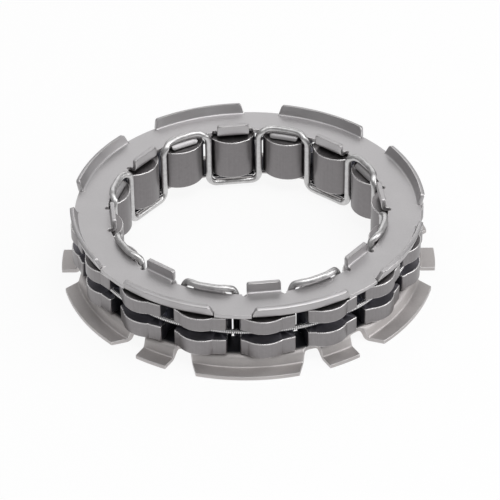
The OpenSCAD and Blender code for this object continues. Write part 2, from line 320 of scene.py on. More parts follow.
def up_tab_rows():
    """Rows over a tab that stands up from the plate's inner edge."""
    top = SHEET + UP_TAB_H
    rows = []
    for a in spread(-90, -180, 8):
        c, s = cos(radians(a)), sin(radians(a))
        near_x, near_z = TAB_BEND_X + BEND_IN * c, BEND_OUT + BEND_IN * s
        far_x, far_z = TAB_BEND_X + BEND_OUT * c, BEND_OUT + BEND_OUT * s
        columns = tab_columns(UP_TAB_W / 2)
        rows.append([plate_pair(near_x, y, near_z, far_z, far_x) for y in columns])
    near_x, far_x = TAB_BEND_X - BEND_IN, TAB_BEND_X - BEND_OUT
    start = top - TAB_CORNER_R
    for h in spread(BEND_OUT, start, 2)[1:] + rounding(start, top, 6):
        half = free_corner(UP_TAB_W / 2, top - h)
        rows.append([plate_pair(near_x, y, h, h, far_x) for y in tab_columns(half)])
    return rows


def down_tab_rows():
    """Rows over a short tab that turns down, cut off level partway round its bend."""
    centre_z = -BEND_IN
    end = -DOWN_TAB_H
    outer_end = 180 - degrees(asin((end - centre_z) / BEND_OUT))
    inner_end = 180 - degrees(asin((end - centre_z) / BEND_IN))
    rows = []
    for t in spread(0, 1, 10):
        a, b = radians(90 + (outer_end - 90) * t), radians(90 + (inner_end - 90) * t)
        up_z = centre_z + BEND_OUT * sin(a)
        half = free_corner(DOWN_TAB_W / 2, up_z - end)
        rows.append([
            plate_pair(
                TAB_BEND_X + BEND_OUT * cos(a), y, up_z,
                centre_z + BEND_IN * sin(b), TAB_BEND_X + BEND_IN * cos(b),
            )
            for y in tab_columns(half)
        ])
    return rows


def inner_edge(half, upright):
    """The plate's inner edge at one sprag: a tab's base, and an upright tab's relief slots."""
    mouth = degrees(asin((half + RELIEF_W if upright else half) / PLATE_IN_R))
    plain = [polar(PLATE_IN_R, a) for a in spread(-SPRAG_STEP / 2, -mouth, 3)]
    mid_x = RELIEF_REACH_R - RELIEF_W / 2
    slot = arc(mid_x, -half - RELIEF_W / 2, RELIEF_W / 2, -90, 90, 10) if upright else []
    base = [(TAB_BEND_X, y) for y in tab_columns(half)]
    first = plain + slot + base[: len(base) // 2 + 1]
    return first + [(x, -y) for x, y in reversed(first[:-1])]


def make_upper_plate(materials):
    sheet = Sheet()
    lips = [lip_rows(k) for k in range(SPRAGS // 2)]
    for rows in lips:
        sheet.patch(rows)
    for i in range(SPRAGS):
        angle = FIRST_SPRAG_A + SPRAG_STEP * i
        upright = i % 2 == 0
        tab = up_tab_rows() if upright else down_tab_rows()
        sheet.patch([at_plate(row, angle) for row in tab])
        edge = inner_edge((UP_TAB_W if upright else DOWN_TAB_W) / 2, upright)
        inner = at_plate([plate_pair(x, y, SHEET, 0) for x, y in edge], angle)
        base = lips[i // 2][0]
        corner_y = notch_half(SHEET)
        rim_a = degrees(asin(corner_y / RIM_R))
        if upright:
            notch = FIRST_NOTCH_A + SPRAG_STEP * i
            rim = [plate_pair(*polar(RIM_R, a), SHEET, 0) for a in spread(0, rim_a, 6)]
            outer = at_plate(rim, notch) + base[: LIP_COLUMNS // 2 + 1]
        else:
            notch = FIRST_NOTCH_A + SPRAG_STEP * (i + 1)
            rim = [plate_pair(*polar(RIM_R, a), SHEET, 0) for a in spread(-rim_a, 0, 6)]
            outer = base[LIP_COLUMNS // 2 :] + at_plate(rim, notch)
        sheet.face(outer + inner[::-1])
    return sheet.build("upper_plate_pressing", materials)


# The lower plate


BENDS = BEND_OUT + BEND_IN
STEP_LEAN = radians(STEP_TURN)
STEP_DROP = STEP_H - BENDS * (1 - cos(STEP_LEAN))
STEP_END_R = STEP_START_R + BENDS * sin(STEP_LEAN) + STEP_DROP / tan(STEP_LEAN)


def leaning_wall(r, upper, lower):
    """Height of one face of the step at a radius. Each bend is given by its centre's radius and
    height and by its own radius."""
    (ur, uz, ub), (lr, lz, lb) = upper, lower
    if r <= ur:
        return uz + ub
    if r >= lr:
        return lz - lb
    if r <= ur + ub * sin(STEP_LEAN):
        return uz + sqrt(ub**2 - (r - ur) ** 2)
    if r >= lr - lb * sin(STEP_LEAN):
        return lz - sqrt(lb**2 - (lr - r) ** 2)
    z0 = uz + ub * cos(STEP_LEAN)
    return z0 - (r - ur - ub * sin(STEP_LEAN)) * tan(STEP_LEAN)


def step_pair(r, angle):
    """The pair of points on the lower plate at a radius and an angle."""
    x, y = polar(r, angle)
    upper_z = FLAT_TOP_Z - BEND_OUT
    start_top, start_low = ((STEP_START_R, upper_z, bend) for bend in (BEND_OUT, BEND_IN))
    end_top, end_low = ((STEP_END_R, BEND_OUT, bend) for bend in (BEND_IN, BEND_OUT))
    top = leaning_wall(r, start_top, end_top)
    low = leaning_wall(r, start_low, end_low)
    return (x, y, top), (x, y, low)


def step_radii():
    """Radii at which the step's bends are cut into rows."""
    turns = [radians(a) for a in spread(0, STEP_TURN, 9)]
    found = {STEP_START_R, GAP_ROOT_R, FLANGE_R}
    for bend in (BEND_IN, BEND_OUT):
        found |= {STEP_START_R + bend * sin(a) for a in turns}
        found |= {STEP_END_R - bend * sin(a) for a in turns}
    return thinned(found)


def thinned(values, least=0.012):
    """Sorted values with the near doubles left out."""
    kept = []
    for v in sorted(values):
        if not kept or v - kept[-1] > least:
            kept.append(v)
    return kept


def as_polar(points):
    """Radius and angle of each point."""
    return [(hypot(x, y), degrees(atan2(y, x))) for x, y in points]


def tab_side():
    """Radius and half angle down the side of a flange tab, from the gap's root outwards."""
    q = GAP_CORNER_R
    cy = FLANGE_TAB_HALF + q
    cx = sqrt((GAP_ROOT_R + q) ** 2 - cy**2)
    fillet = arc(cx, cy, q, 180 + degrees(atan2(cy, cx)), 270, 8)
    return as_polar(fillet), lambda r: degrees(asin(FLANGE_TAB_HALF / r))


def segment_side():
    """The same for a wide segment, whose end leans towards its middle."""
    q, hw, slant = GAP_CORNER_R, SEGMENT_HALF, radians(SEGMENT_SLANT)
    a = Vector((sqrt(GAP_ROOT_R**2 - hw**2), hw))
    d, n = Vector((cos(slant), -sin(slant))), Vector((sin(slant), cos(slant)))
    p = a + q * n
    along = -p.dot(d) + sqrt(p.dot(d) ** 2 - p.dot(p) + (GAP_ROOT_R + q) ** 2)
    c = p + along * d
    first = 180 + degrees(atan2(c.y, c.x))
    fillet = arc(c.x, c.y, q, first, 270 - SEGMENT_SLANT, 8)
    e = c - q * n

    def end_line(r):
        t = -e.dot(d) + sqrt(e.dot(d) ** 2 - e.dot(e) + r**2)
        s = e + t * d
        return degrees(atan2(s.y, s.x))

    return as_polar(fillet), end_line


def half_angle(r, side):
    """Half angle of a tab or segment at a radius."""
    fillet, line = side
    for (r0, a0), (r1, a1) in zip(fillet, fillet[1:]):
        if r <= r1 + 1e-9:
            return a0 + (a1 - a0) * max(0, r - r0) / (r1 - r0)
    return line(r)


def turn_between(a, b):
    """The turn in degrees from angle b to angle a, by the shorter way."""
    return (a - b + 180) % 360 - 180


# Angles in degrees: the pitch of the flange's columns, the least room between two of them, and
# an angle that each gap in the flange stays below and each tab stays above
COLUMN_STEP = 1.4
COLUMN_ROOM = 0.3
WIDEST_GAP = 8


def flange_columns(outward):
    """Angles at which the lower plate is cut into columns, over its tabs, segments and gaps."""
    corners = [FIRST_SPRAG_A + 2 * SPRAG_STEP * (i + 0.5) for i in range(SPRAGS // 2)]
    edges = [centre + side * s[0][0][1] for centre, s in outward for side in (-1, 1)]
    filled = []
    for centre, s in outward:
        base = s[0][0][1]
        steps = max(8, round(2 * base / COLUMN_STEP))
        filled += spread(centre - base, centre + base, steps)
    roots = []
    marks = sorted(a % 360 for a in edges)
    for a, b in zip(marks, marks[1:] + [marks[0] + 360]):
        if b - a < WIDEST_GAP:
            roots += spread(a, b, 4)
    exact = {round(a % 360, 6) for a in corners + edges}
    loose = {round(a % 360, 6) for a in filled + roots}
    clear = {a for a in loose if all(abs(turn_between(a, e)) > COLUMN_ROOM for e in exact)}
    return sorted(exact | clear)


def make_lower_plate(materials):
    sheet = Sheet()
    radii = step_radii()
    tabs, segments = tab_side(), segment_side()
    outward = []
    for i in range(FLANGE_TABS):
        pitch = 360 / FLANGE_TABS
        outward += [(i * pitch, tabs), ((i + 0.5) * pitch, segments)]
    columns = flange_columns(outward)
    # The step, all the way round, as far out as the gaps' roots
    inner_radii = [r for r in radii if r <= GAP_ROOT_R]
    sheet.patch([[step_pair(r, a) for a in columns + [columns[0] + 360]] for r in inner_radii])
    # The tabs and the wide segments outside the roots
    for centre, s in outward:
        fillet = s[0]
        base = fillet[0][1]
        inside = sorted(
            offset
            for offset in (turn_between(a, centre) for a in columns)
            if abs(offset) <= base + 1e-5
        )
        outer_radii = thinned({r for r in radii if r > GAP_ROOT_R} | {r for r, _ in fillet[1:]})
        rows = [[step_pair(GAP_ROOT_R, centre + o) for o in inside]]
        for r in outer_radii:
            half = half_angle(r, s)
            rows.append([step_pair(r, centre + o * half / base) for o in inside])
        sheet.patch(rows)
    # The flat, in eight sectors, each with a lug that reaches in over the wire
    lug_a = degrees(asin(LUG_HALF / PLATE_IN_R))
    for i in range(SPRAGS // 2):
        centre = FIRST_SPRAG_A + 2 * SPRAG_STEP * i
        plain = [polar(PLATE_IN_R, a) for a in spread(-SPRAG_STEP, -lug_a, 12)]
        mirrored = [(x, -y) for x, y in reversed(plain)]
        edge = plain + [(LUG_X, -LUG_HALF), (LUG_X, LUG_HALF)] + mirrored
        # The lug's ends slant inwards below, clear of the wire's low bends
        foot = [(x, y * LUG_FOOT_HALF / LUG_HALF if x == LUG_X else y) for x, y in edge]
        inner = [
            ((*turned(*top, centre), FLAT_TOP_Z), (*turned(*low, centre), STEP_H))
            for top, low in zip(edge, foot)
        ]
        offsets = sorted(turn_between(a, centre) for a in columns)
        reach = SPRAG_STEP + 1e-5
        outer = [step_pair(STEP_START_R, centre + o) for o in offsets if abs(o) <= reach]
        sheet.face(outer + inner[::-1])
    return sheet.build("lower_plate_pressing", materials)


# The sprags


def rounded_corner(before, corner, after, r, steps):
    """Points round a corner of an outline."""
    a = (Vector(before) - Vector(corner)).normalized()
    b = (Vector(after) - Vector(corner)).normalized()
    half = a.angle(b) / 2
    reach = r / tan(half)
    middle = Vector(corner) + (a + b).normalized() * (r / sin(half))
    start, end = Vector(corner) + a * reach - middle, Vector(corner) + b * reach - middle
    turn = start.angle_signed(end)
    points = []
    for t in spread(0, 1, steps):
        spun = Matrix.Rotation(-turn * t, 2) @ start
        points.append(tuple(middle + spun))
    return points


def flank(side):
    """One flank, from the inner cam to the outer corner, with its hollow."""
    inner_x = INNER_CAM_X - sqrt(INNER_CAM_R**2 - INNER_HALF**2)
    outer_x = STEEP_CORNER_X if side < 0 else LUG_CORNER_X
    waist_x = (inner_x + STEEP_CORNER_X) / 2 - WAIST_SHIFT
    waist_y = (INNER_HALF + OUTER_HALF) / 2 - WAIST_DEPTH + WAIST_R
    hollow = []
    for x, y in arc(waist_x, waist_y, WAIST_R, 180, 360, 80):
        line = INNER_HALF + (OUTER_HALF - INNER_HALF) * (x - inner_x) / (outer_x - inner_x)
        if y < line and inner_x < x < outer_x:
            hollow.append((x, side * y))
    return hollow[:: max(1, len(hollow) // 12)] + hollow[-1:]


GROUND, SCALE, EDGE = 0, 1, 2


def sprag_outline():
    """The sprag's section, anticlockwise, as points and the kind of face after each."""
    inner_x = INNER_CAM_X - sqrt(INNER_CAM_R**2 - INNER_HALF**2)
    swing = degrees(asin(INNER_HALF / INNER_CAM_R))
    inner = arc(INNER_CAM_X, 0, INNER_CAM_R, 180 - swing, 180 + swing, 36)
    steep_x = OUTER_CAM_X + sqrt(OUTER_CAM_R**2 - (STEEP_Y - CAM_OFFSET) ** 2)
    crease_x = OUTER_CAM_X + sqrt(OUTER_CAM_R**2 - (CREASE_Y + CAM_OFFSET) ** 2)
    steep_flank, lug_flank = flank(-1), flank(1)[::-1]
    steep_corner = (STEEP_CORNER_X, -OUTER_HALF)
    steep = rounded_corner(steep_flank[-1], steep_corner, (steep_x, -STEEP_Y), STEEP_CORNER_R, 5)
    first = degrees(asin((CAM_OFFSET - STEEP_Y) / OUTER_CAM_R))
    crease_a = degrees(asin((CAM_OFFSET + CREASE_Y) / OUTER_CAM_R))
    last = crease_a - degrees(CREASE_REACH / OUTER_CAM_R)
    outer = arc(OUTER_CAM_X, -CAM_OFFSET, OUTER_CAM_R, first, last, 26)
    lug_corner = (LUG_CORNER_X, OUTER_HALF)
    past = Vector((crease_x, CREASE_Y)).lerp(Vector(lug_corner), CREASE_REACH / LUG_FACE_L)
    crease = [(crease_x - CREASE_DEPTH, CREASE_Y), tuple(past)]
    lug = rounded_corner(past, lug_corner, lug_flank[0], LUG_CORNER_R, 4)
    parts = [
        (inner, GROUND), (steep_flank, SCALE), (steep, GROUND), (outer, GROUND),
        (crease, GROUND), (lug, GROUND), (lug_flank, SCALE),
    ]
    # The straight between a rounded corner and its flank's hollow belongs to the flank
    points, kinds = [], []
    for run, kind in parts:
        for i, point in enumerate(run):
            if points and (Vector(point) - Vector(points[-1])).length < 0.002:
                points.pop()
                kinds.pop()
            points.append(point)
            kinds.append(SCALE if i == len(run) - 1 and run in (inner, steep_flank, lug) else kind)
    return points, kinds


def groove_x(y):
    return GROOVE_FLOOR_X + sqrt(GROOVE_FLOOR_R**2 - y**2)


def sprag_sections():
    """The sprag's whole section and its section at the groove, point for point, with the kind of
    face after each point and the count of points on the groove's floor."""
    points, kinds = sprag_outline()
    full, slots = [], []
    n = len(points)
    for i in range(n):
        a, b = Vector(points[i]), Vector(points[(i + 1) % n])
        full.append(tuple(a))
        slots.append(kinds[i])
        fa, fb = a.x - groove_x(a.y), b.x - groove_x(b.y)
        if fa * fb < 0:
            full.append(tuple(a.lerp(b, fa / (fa - fb))))
            slots.append(kinds[i])
    cut = [x > groove_x(y) + 1e-4 for x, y in full]
    first = next(i for i in range(len(full)) if cut[i] and not cut[i - 1])
    full, slots, cut = (v[first - 1 :] + v[: first - 1] for v in (full, slots, cut))
    count = sum(cut)
    start_a = degrees(atan2(full[0][1], full[0][0] - GROOVE_FLOOR_X))
    end_a = degrees(atan2(full[count + 1][1], full[count + 1][0] - GROOVE_FLOOR_X))
    floor = arc(GROOVE_FLOOR_X, 0, GROOVE_FLOOR_R, start_a, end_a, count + 1)
    grooved = [floor[i] if cut[i] else full[i] for i in range(len(full))]
    return full, grooved, slots, count


def sprag_mesh(materials):
    """One sprag on the X axis: its section drawn out along the clutch's axis, with the groove."""
    full, grooved, slots, count = sprag_sections()
    levels = [
        (full, 0), (full, GROOVE_BASE), (grooved, GROOVE_BASE),
        (grooved, GROOVE_TOP), (full, GROOVE_TOP), (full, SPRAG_L),
    ]
    known, verts, faces, kinds = {}, [], [], []

    def index(ring, z, i):
        x, y = ring[i % len(ring)]
        key = (round(x, 4), round(y, 4), z)
        if key not in known:
            known[key] = len(verts)
            verts.append((x, y, z + SPRAG_Z))
        return known[key]

    size = len(full)
    for level, ((low, z0), (high, z1)) in enumerate(zip(levels, levels[1:])):
        for i in range(size):
            quad = [(low, z0, i), (low, z0, i + 1), (high, z1, i + 1), (high, z1, i)]
            ring = list(dict.fromkeys(index(*corner) for corner in quad))
            if len(ring) < 3:
                continue
            faces.append(ring)
            in_groove = level in (1, 3) or (level == 2 and i <= count)
            kinds.append(SCALE if in_groove else slots[i])
    faces.append(list(dict.fromkeys(index(full, 0, i) for i in reversed(range(size)))))
    faces.append(list(dict.fromkeys(index(full, SPRAG_L, i) for i in range(size))))
    kinds += [GROUND, GROUND]
    made = mesh_object("sprag_blank", verts, faces, materials, kinds)
    mark_level_edges(made.data)
    return made


def mark_level_edges(mesh):
    """Marks the sharp outward edges that lie level, for the bevel that rubs them."""
    shape = bmesh.new()
    shape.from_mesh(mesh)
    weight = shape.edges.layers.float.new("bevel_weight_edge")
    for edge in shape.edges:
        level = abs(edge.verts[0].co.z - edge.verts[1].co.z) < 0.001 * MM
        if level and edge.calc_face_angle_signed(0) > radians(SHARP_A):
            edge[weight] = 1.0
    shape.to_mesh(mesh)
    shape.free()


# Node trees


def add(tree, kind, settings=(), inputs=()):
    """Adds a node with its settings, and with values or links on its sockets."""
    made = tree.nodes.new(kind)
    for name, value in dict(settings).items():
        setattr(made, name, value)
    for name, value in dict(inputs).items():
        socket = made.inputs[name]
        if isinstance(value, bpy.types.NodeSocket):
            tree.links.new(value, socket)
        else:
            socket.default_value = value
    return made


def linear(hex_colour):
    """A colour written as sRGB hex, as linear values for a node."""
    parts = [int(hex_colour[i : i + 2], 16) / 255 for i in (1, 3, 5)]
    return (*[c / 12.92 if c <= 0.04045 else ((c + 0.055) / 1.055) ** 2.4 for c in parts], 1.0)


def new_material(name):
    made = bpy.data.materials.new(name)
    made.use_nodes = True
    made.node_tree.nodes.clear()
    return made, made.node_tree


def finish_metal(tree, colour, roughness, height, depth):
    """The metal itself: colour and roughness from the patterns, and a bump of depth millimetres."""
    bump = add(
        tree, "ShaderNodeBump",
        inputs={"Height": height, "Distance": depth * MM, "Strength": 1.0},
    )
    metal = add(
        tree, "ShaderNodeBsdfPrincipled",
        inputs={
            "Base Color": colour, "Metallic": 1.0, "Roughness": roughness,
            "Normal": bump.outputs[0],
        },
    )
    add(tree, "ShaderNodeOutputMaterial", inputs={"Surface": metal.outputs[0]})


def set_tones(ramp, *stops):
    """Gives a ramp's two stops their places and colours."""
    for stop, (place, tone) in zip(ramp.elements, stops):
        stop.position = place
        stop.color = linear(tone)


def reach_from_axis(tree, place, near, far):
    """How far out a point lies from the clutch's axis: 0 at the near radius, 1 at the far one."""
    flat = add(tree, "ShaderNodeVectorMath", {"operation": "MULTIPLY"}, {0: place, 1: (1, 1, 0)})
    reach = add(tree, "ShaderNodeVectorMath", {"operation": "LENGTH"}, {0: flat.outputs[0]})
    share = add(
        tree, "ShaderNodeMapRange",
        inputs={
            "Value": reach.outputs["Value"], "From Min": near * MM, "From Max": far * MM,
            "To Min": 0.0, "To Max": 1.0,
        },
    )
    return share.outputs[0]


def painted_shade(tree, place, colour, radii, heights, tone):
    """The colour, darkened with painted shade: fully so past the second radius and
    the second height, and not at all before the first ones."""
    level = add(tree, "ShaderNodeSeparateXYZ", inputs={0: place})
    height = add(
        tree, "ShaderNodeMapRange",
        inputs={
            "Value": level.outputs["Z"], "From Min": heights[0] * MM, "From Max": heights[1] * MM,
            "To Min": 0.0, "To Max": 1.0,
        },
    )
    where = add(
        tree, "ShaderNodeMath", {"operation": "MULTIPLY"},
        {0: reach_from_axis(tree, place, *radii), 1: height.outputs[0]},
    )
    both = add(
        tree, "ShaderNodeMix", {"data_type": "RGBA"},
        {"Factor": where.outputs[0], 6: colour, 7: linear(tone)},
    )
    return both.outputs[2]


def rolled_strip(name, pale, dark, rough, flat_shade_tone=None):
    """Cold-rolled steel strip, pressed and barrel polished: an even satin with a fine pebble,
    and slow changes of tone where the tumbling stones rubbed it more. The last argument, when
    given, is the tone of painted shade on the lower plate's flat between the sprags."""
    made, tree = new_material(name)
    place = add(tree, "ShaderNodeTexCoord").outputs["Object"]
    # Tumbling marks about 0.35 mm across, coarser than the real ones so that they show
    pebble = add(
        tree, "ShaderNodeTexNoise",
        inputs={"Vector": place, "Scale": 1 / (0.35 * MM), "Detail": 3.0, "Roughness": 0.6},
    )
    # Clouds of tone about 9 mm across
    cloud = add(
        tree, "ShaderNodeTexNoise",
        inputs={"Vector": place, "Scale": 1 / (9 * MM), "Detail": 2.0},
    )
    mixed = add(
        tree, "ShaderNodeMix", {"data_type": "FLOAT"},
        {"Factor": 0.3, "A": cloud.outputs[0], "B": pebble.outputs[0]},
    )
    colour = add(tree, "ShaderNodeValToRGB", inputs={"Fac": mixed.outputs[0]})
    set_tones(colour.color_ramp, (0.35, dark), (0.65, pale))
    shine = add(
        tree, "ShaderNodeMapRange",
        inputs={
            "Value": mixed.outputs[0], "From Min": 0.3, "From Max": 0.7,
            "To Min": rough[0], "To Max": rough[1],
        },
    )
    tone = colour.outputs[0]
    if flat_shade_tone:
        # The painted shade sets in over the step's upper bend
        radii = (STEP_START_R + 0.3, STEP_START_R - 0.3)
        heights = (STEP_H + 0.2, FLAT_TOP_Z - 0.3)
        tone = painted_shade(tree, place, tone, radii, heights, flat_shade_tone)
    finish_metal(tree, tone, shine.outputs[0], pebble.outputs[0], 0.004)
    return made


def drawn_profile(name, tones, worn, rough):
    """Bearing steel drawn to the sprag's section, hardened and ground along its length. The inner
    cams take the first of tones and the outer ones the second; the ground steel's darker inner cams
    are painted shade inside the ring. Fine lines run along the clutch's axis, and patches of wear
    take the tone down to the share worn."""
    made, tree = new_material(name)
    place = add(tree, "ShaderNodeTexCoord").outputs["Object"]
    # Lines 0.3 mm apart and some 15 mm long, coarser than the real ones so that they show
    stretch = add(tree, "ShaderNodeMapping", inputs={"Vector": place, "Scale": (1, 1, 0.02)})
    lines = add(
        tree, "ShaderNodeTexNoise",
        inputs={"Vector": stretch.outputs[0], "Scale": 1 / (0.3 * MM), "Detail": 3.0},
    )
    # Wear that is rubbed in patches about 0.7 mm across
    wear = add(
        tree, "ShaderNodeTexNoise",
        inputs={"Vector": place, "Scale": 1 / (0.7 * MM), "Detail": 4.0, "Roughness": 0.6},
    )
    mixed = add(
        tree, "ShaderNodeMix", {"data_type": "FLOAT"},
        {"Factor": 0.55, "A": lines.outputs[0], "B": wear.outputs[0]},
    )
    # Painted shade: the first tone on the inner cams, blending to the second past 31.5 mm
    outward = reach_from_axis(tree, place, 29.0, 31.5)
    base = add(
        tree, "ShaderNodeMix", {"data_type": "RGBA"},
        {"Factor": outward, 6: linear(tones[0]), 7: linear(tones[1])},
    )
    tone = add(
        tree, "ShaderNodeMapRange",
        inputs={
            "Value": mixed.outputs[0], "From Min": 0.35, "From Max": 0.65,
            "To Min": worn, "To Max": 1.0,
        },
    )
    colour = add(
        tree, "ShaderNodeVectorMath", {"operation": "SCALE"},
        {0: base.outputs[2], "Scale": tone.outputs[0]},
    )
    shine = add(
        tree, "ShaderNodeMapRange",
        inputs={
            "Value": mixed.outputs[0], "From Min": 0.3, "From Max": 0.7,
            "To Min": rough[0], "To Max": rough[1],
        },
    )
    finish_metal(tree, colour.outputs[0], shine.outputs[0], lines.outputs[0], 0.0015)
    return made


def hardening_scale(name, pale, dark):
    """The dark skin that hardening leaves where no grinding reaches, a little paler towards
    the outside: painted shade that deepens towards the axis, between the sprags."""
    made, tree = new_material(name)
    place = add(tree, "ShaderNodeTexCoord").outputs["Object"]
    # Painted shade: darker towards the axis, where the flanks lie deep between the sprags
    rubbed = reach_from_axis(tree, place, 29.5, 32.5)
    # Blotches about 0.8 mm across
    blotch = add(
        tree, "ShaderNodeTexNoise",
        inputs={"Vector": place, "Scale": 1 / (0.8 * MM), "Detail": 4.0},
    )
    mixed = add(
        tree, "ShaderNodeMix", {"data_type": "FLOAT"},
        {"Factor": 0.4, "A": rubbed, "B": blotch.outputs[0]},
    )
    colour = add(tree, "ShaderNodeValToRGB", inputs={"Fac": mixed.outputs[0]})
    set_tones(colour.color_ramp, (0.15, dark), (0.85, pale))
    finish_metal(tree, colour.outputs[0], 0.5, blotch.outputs[0], 0.004)
    return made


def drawn_wire(name, pale, dark, rough, leg_back_shade_tone=None):
    """Drawn spring wire: smooth, pale and satin, with faint scuffs. The last argument, when given,
    is the tone of painted shade on the retaining wire's legs, on their outer sides between the
    sprags."""
    made, tree = new_material(name)
    place = add(tree, "ShaderNodeTexCoord").outputs["Object"]
    # Scuffs about 1 mm across
    scuff = add(
        tree, "ShaderNodeTexNoise",
        inputs={"Vector": place, "Scale": 1 / (1.0 * MM), "Detail": 5.0, "Roughness": 0.6},
    )
    colour = add(tree, "ShaderNodeValToRGB", inputs={"Fac": scuff.outputs[0]})
    set_tones(colour.color_ramp, (0.35, dark), (0.6, pale))
    shine = add(
        tree, "ShaderNodeMapRange",
        inputs={
            "Value": scuff.outputs[0], "From Min": 0.3, "From Max": 0.7,
            "To Min": rough[0], "To Max": rough[1],
        },
    )
    tone = colour.outputs[0]
    if leg_back_shade_tone:
        # The painted shade sets in past the legs' middles, just under the upper plate
        radii = (LEG_RING_R - 0.1, LEG_RING_R + 0.3)
        tone = painted_shade(tree, place, tone, radii, (UPPER_Z, UPPER_Z - 0.6), leg_back_shade_tone)
    finish_metal(tree, tone, shine.outputs[0], scuff.outputs[0], 0.003)
    return made


upper_steel = rolled_strip("cold_rolled_strip_satin", "#c4c2c3", "#b8b6b7", (0.42, 0.54))
# The flange's steel carries painted shade, #45454a, on the lower plate's flat between the sprags
flange_steel = rolled_strip("cold_rolled_strip_grey", "#c9c5c4", "#b7b3b2", (0.52, 0.64), "#45454a")
cut_edge = rolled_strip("burnished_sheet_edge", "#d0cecd", "#c2c0c0", (0.3, 0.4))
# The ground steel's first, darker tone is painted shade on the sprags' inner cams
sprag_steel = drawn_profile("ground_bearing_steel", ("#868384", "#8f8c8d"), 0.86, (0.3, 0.42))
sprag_scale = hardening_scale("hardening_scale", "#7a787d", "#4c4d5a")
sprag_edge = drawn_profile("rubbed_bearing_steel_edge", ("#e2e0e0", "#dedcdc"), 0.94, (0.22, 0.32))
# The retaining wire carries painted shade, #36363c, on its legs' outer sides between the sprags
wire_steel = drawn_wire("bright_drawn_wire", "#d3d2d2", "#bfbebe", (0.34, 0.44), "#36363c")
spring_steel = drawn_wire("spring_wire", "#f4f3f3", "#e3e2e2", (0.18, 0.28))


# Geometry trees


def new_geometry_tree(name, sizes):
    """A geometry tree with named inputs for its sizes."""
    tree = bpy.data.node_groups.new(name, "GeometryNodeTree")
    tree.interface.new_socket("Geometry", in_out="INPUT", socket_type="NodeSocketGeometry")
    for label, kind in sizes:
        tree.interface.new_socket(label, in_out="INPUT", socket_type=kind)
    tree.interface.new_socket("Geometry", in_out="OUTPUT", socket_type="NodeSocketGeometry")
    return tree, add(tree, "NodeGroupInput").outputs


def end_geometry_tree(tree, geometry, material):
    """The tree's end: everything real, smooth and in its material, unless the faces have theirs."""
    real = add(tree, "GeometryNodeRealizeInstances", inputs={"Geometry": geometry})
    smooth = add(tree, "GeometryNodeSetShadeSmooth", inputs={"Geometry": real.outputs[0]})
    last = smooth
    if material:
        last = add(
            tree, "GeometryNodeSetMaterial",
            inputs={"Geometry": smooth.outputs[0], "Material": material},
        )
    add(tree, "NodeGroupOutput", inputs={0: last.outputs[0]})


def grown(blank, tree, values, name):
    """A plain mesh object from a blank and a tree, with the tree's inputs set."""
    modifier = blank.modifiers.new("grow", "NODES")
    modifier.node_group = tree
    sockets = {s.name: s.identifier for s in tree.interface.items_tree if s.in_out == "INPUT"}
    for label, value in values.items():
        modifier[sockets[label]] = value
    seen = blank.evaluated_get(bpy.context.evaluated_depsgraph_get())
    mesh = bpy.data.meshes.new_from_object(seen)
    mesh.name = name
    blank.modifiers.remove(modifier)
    made = bpy.data.objects.new(name, mesh)
    bpy.context.scene.collection.objects.link(made)
    return made


def wire_tree():
    """Round wire drawn along the blank's edges."""
    tree, given = new_geometry_tree(
        "bent_wire", [("Wire diameter", "NodeSocketFloat"), ("Sides", "NodeSocketInt")],
    )
    path = add(tree, "GeometryNodeMeshToCurve", inputs={0: given["Geometry"]})
    half = add(tree, "ShaderNodeMath", {"operation": "DIVIDE"}, {0: given["Wire diameter"], 1: 2.0})
    section = add(
        tree, "GeometryNodeCurvePrimitiveCircle",
        inputs={"Resolution": given["Sides"], "Radius": half.outputs[0]},
    )
    tube = add(
        tree, "GeometryNodeCurveToMesh",
        inputs={"Curve": path.outputs[0], "Profile Curve": section.outputs[0]},
    )
    end_geometry_tree(tree, tube.outputs[0], wire_steel)
    return tree


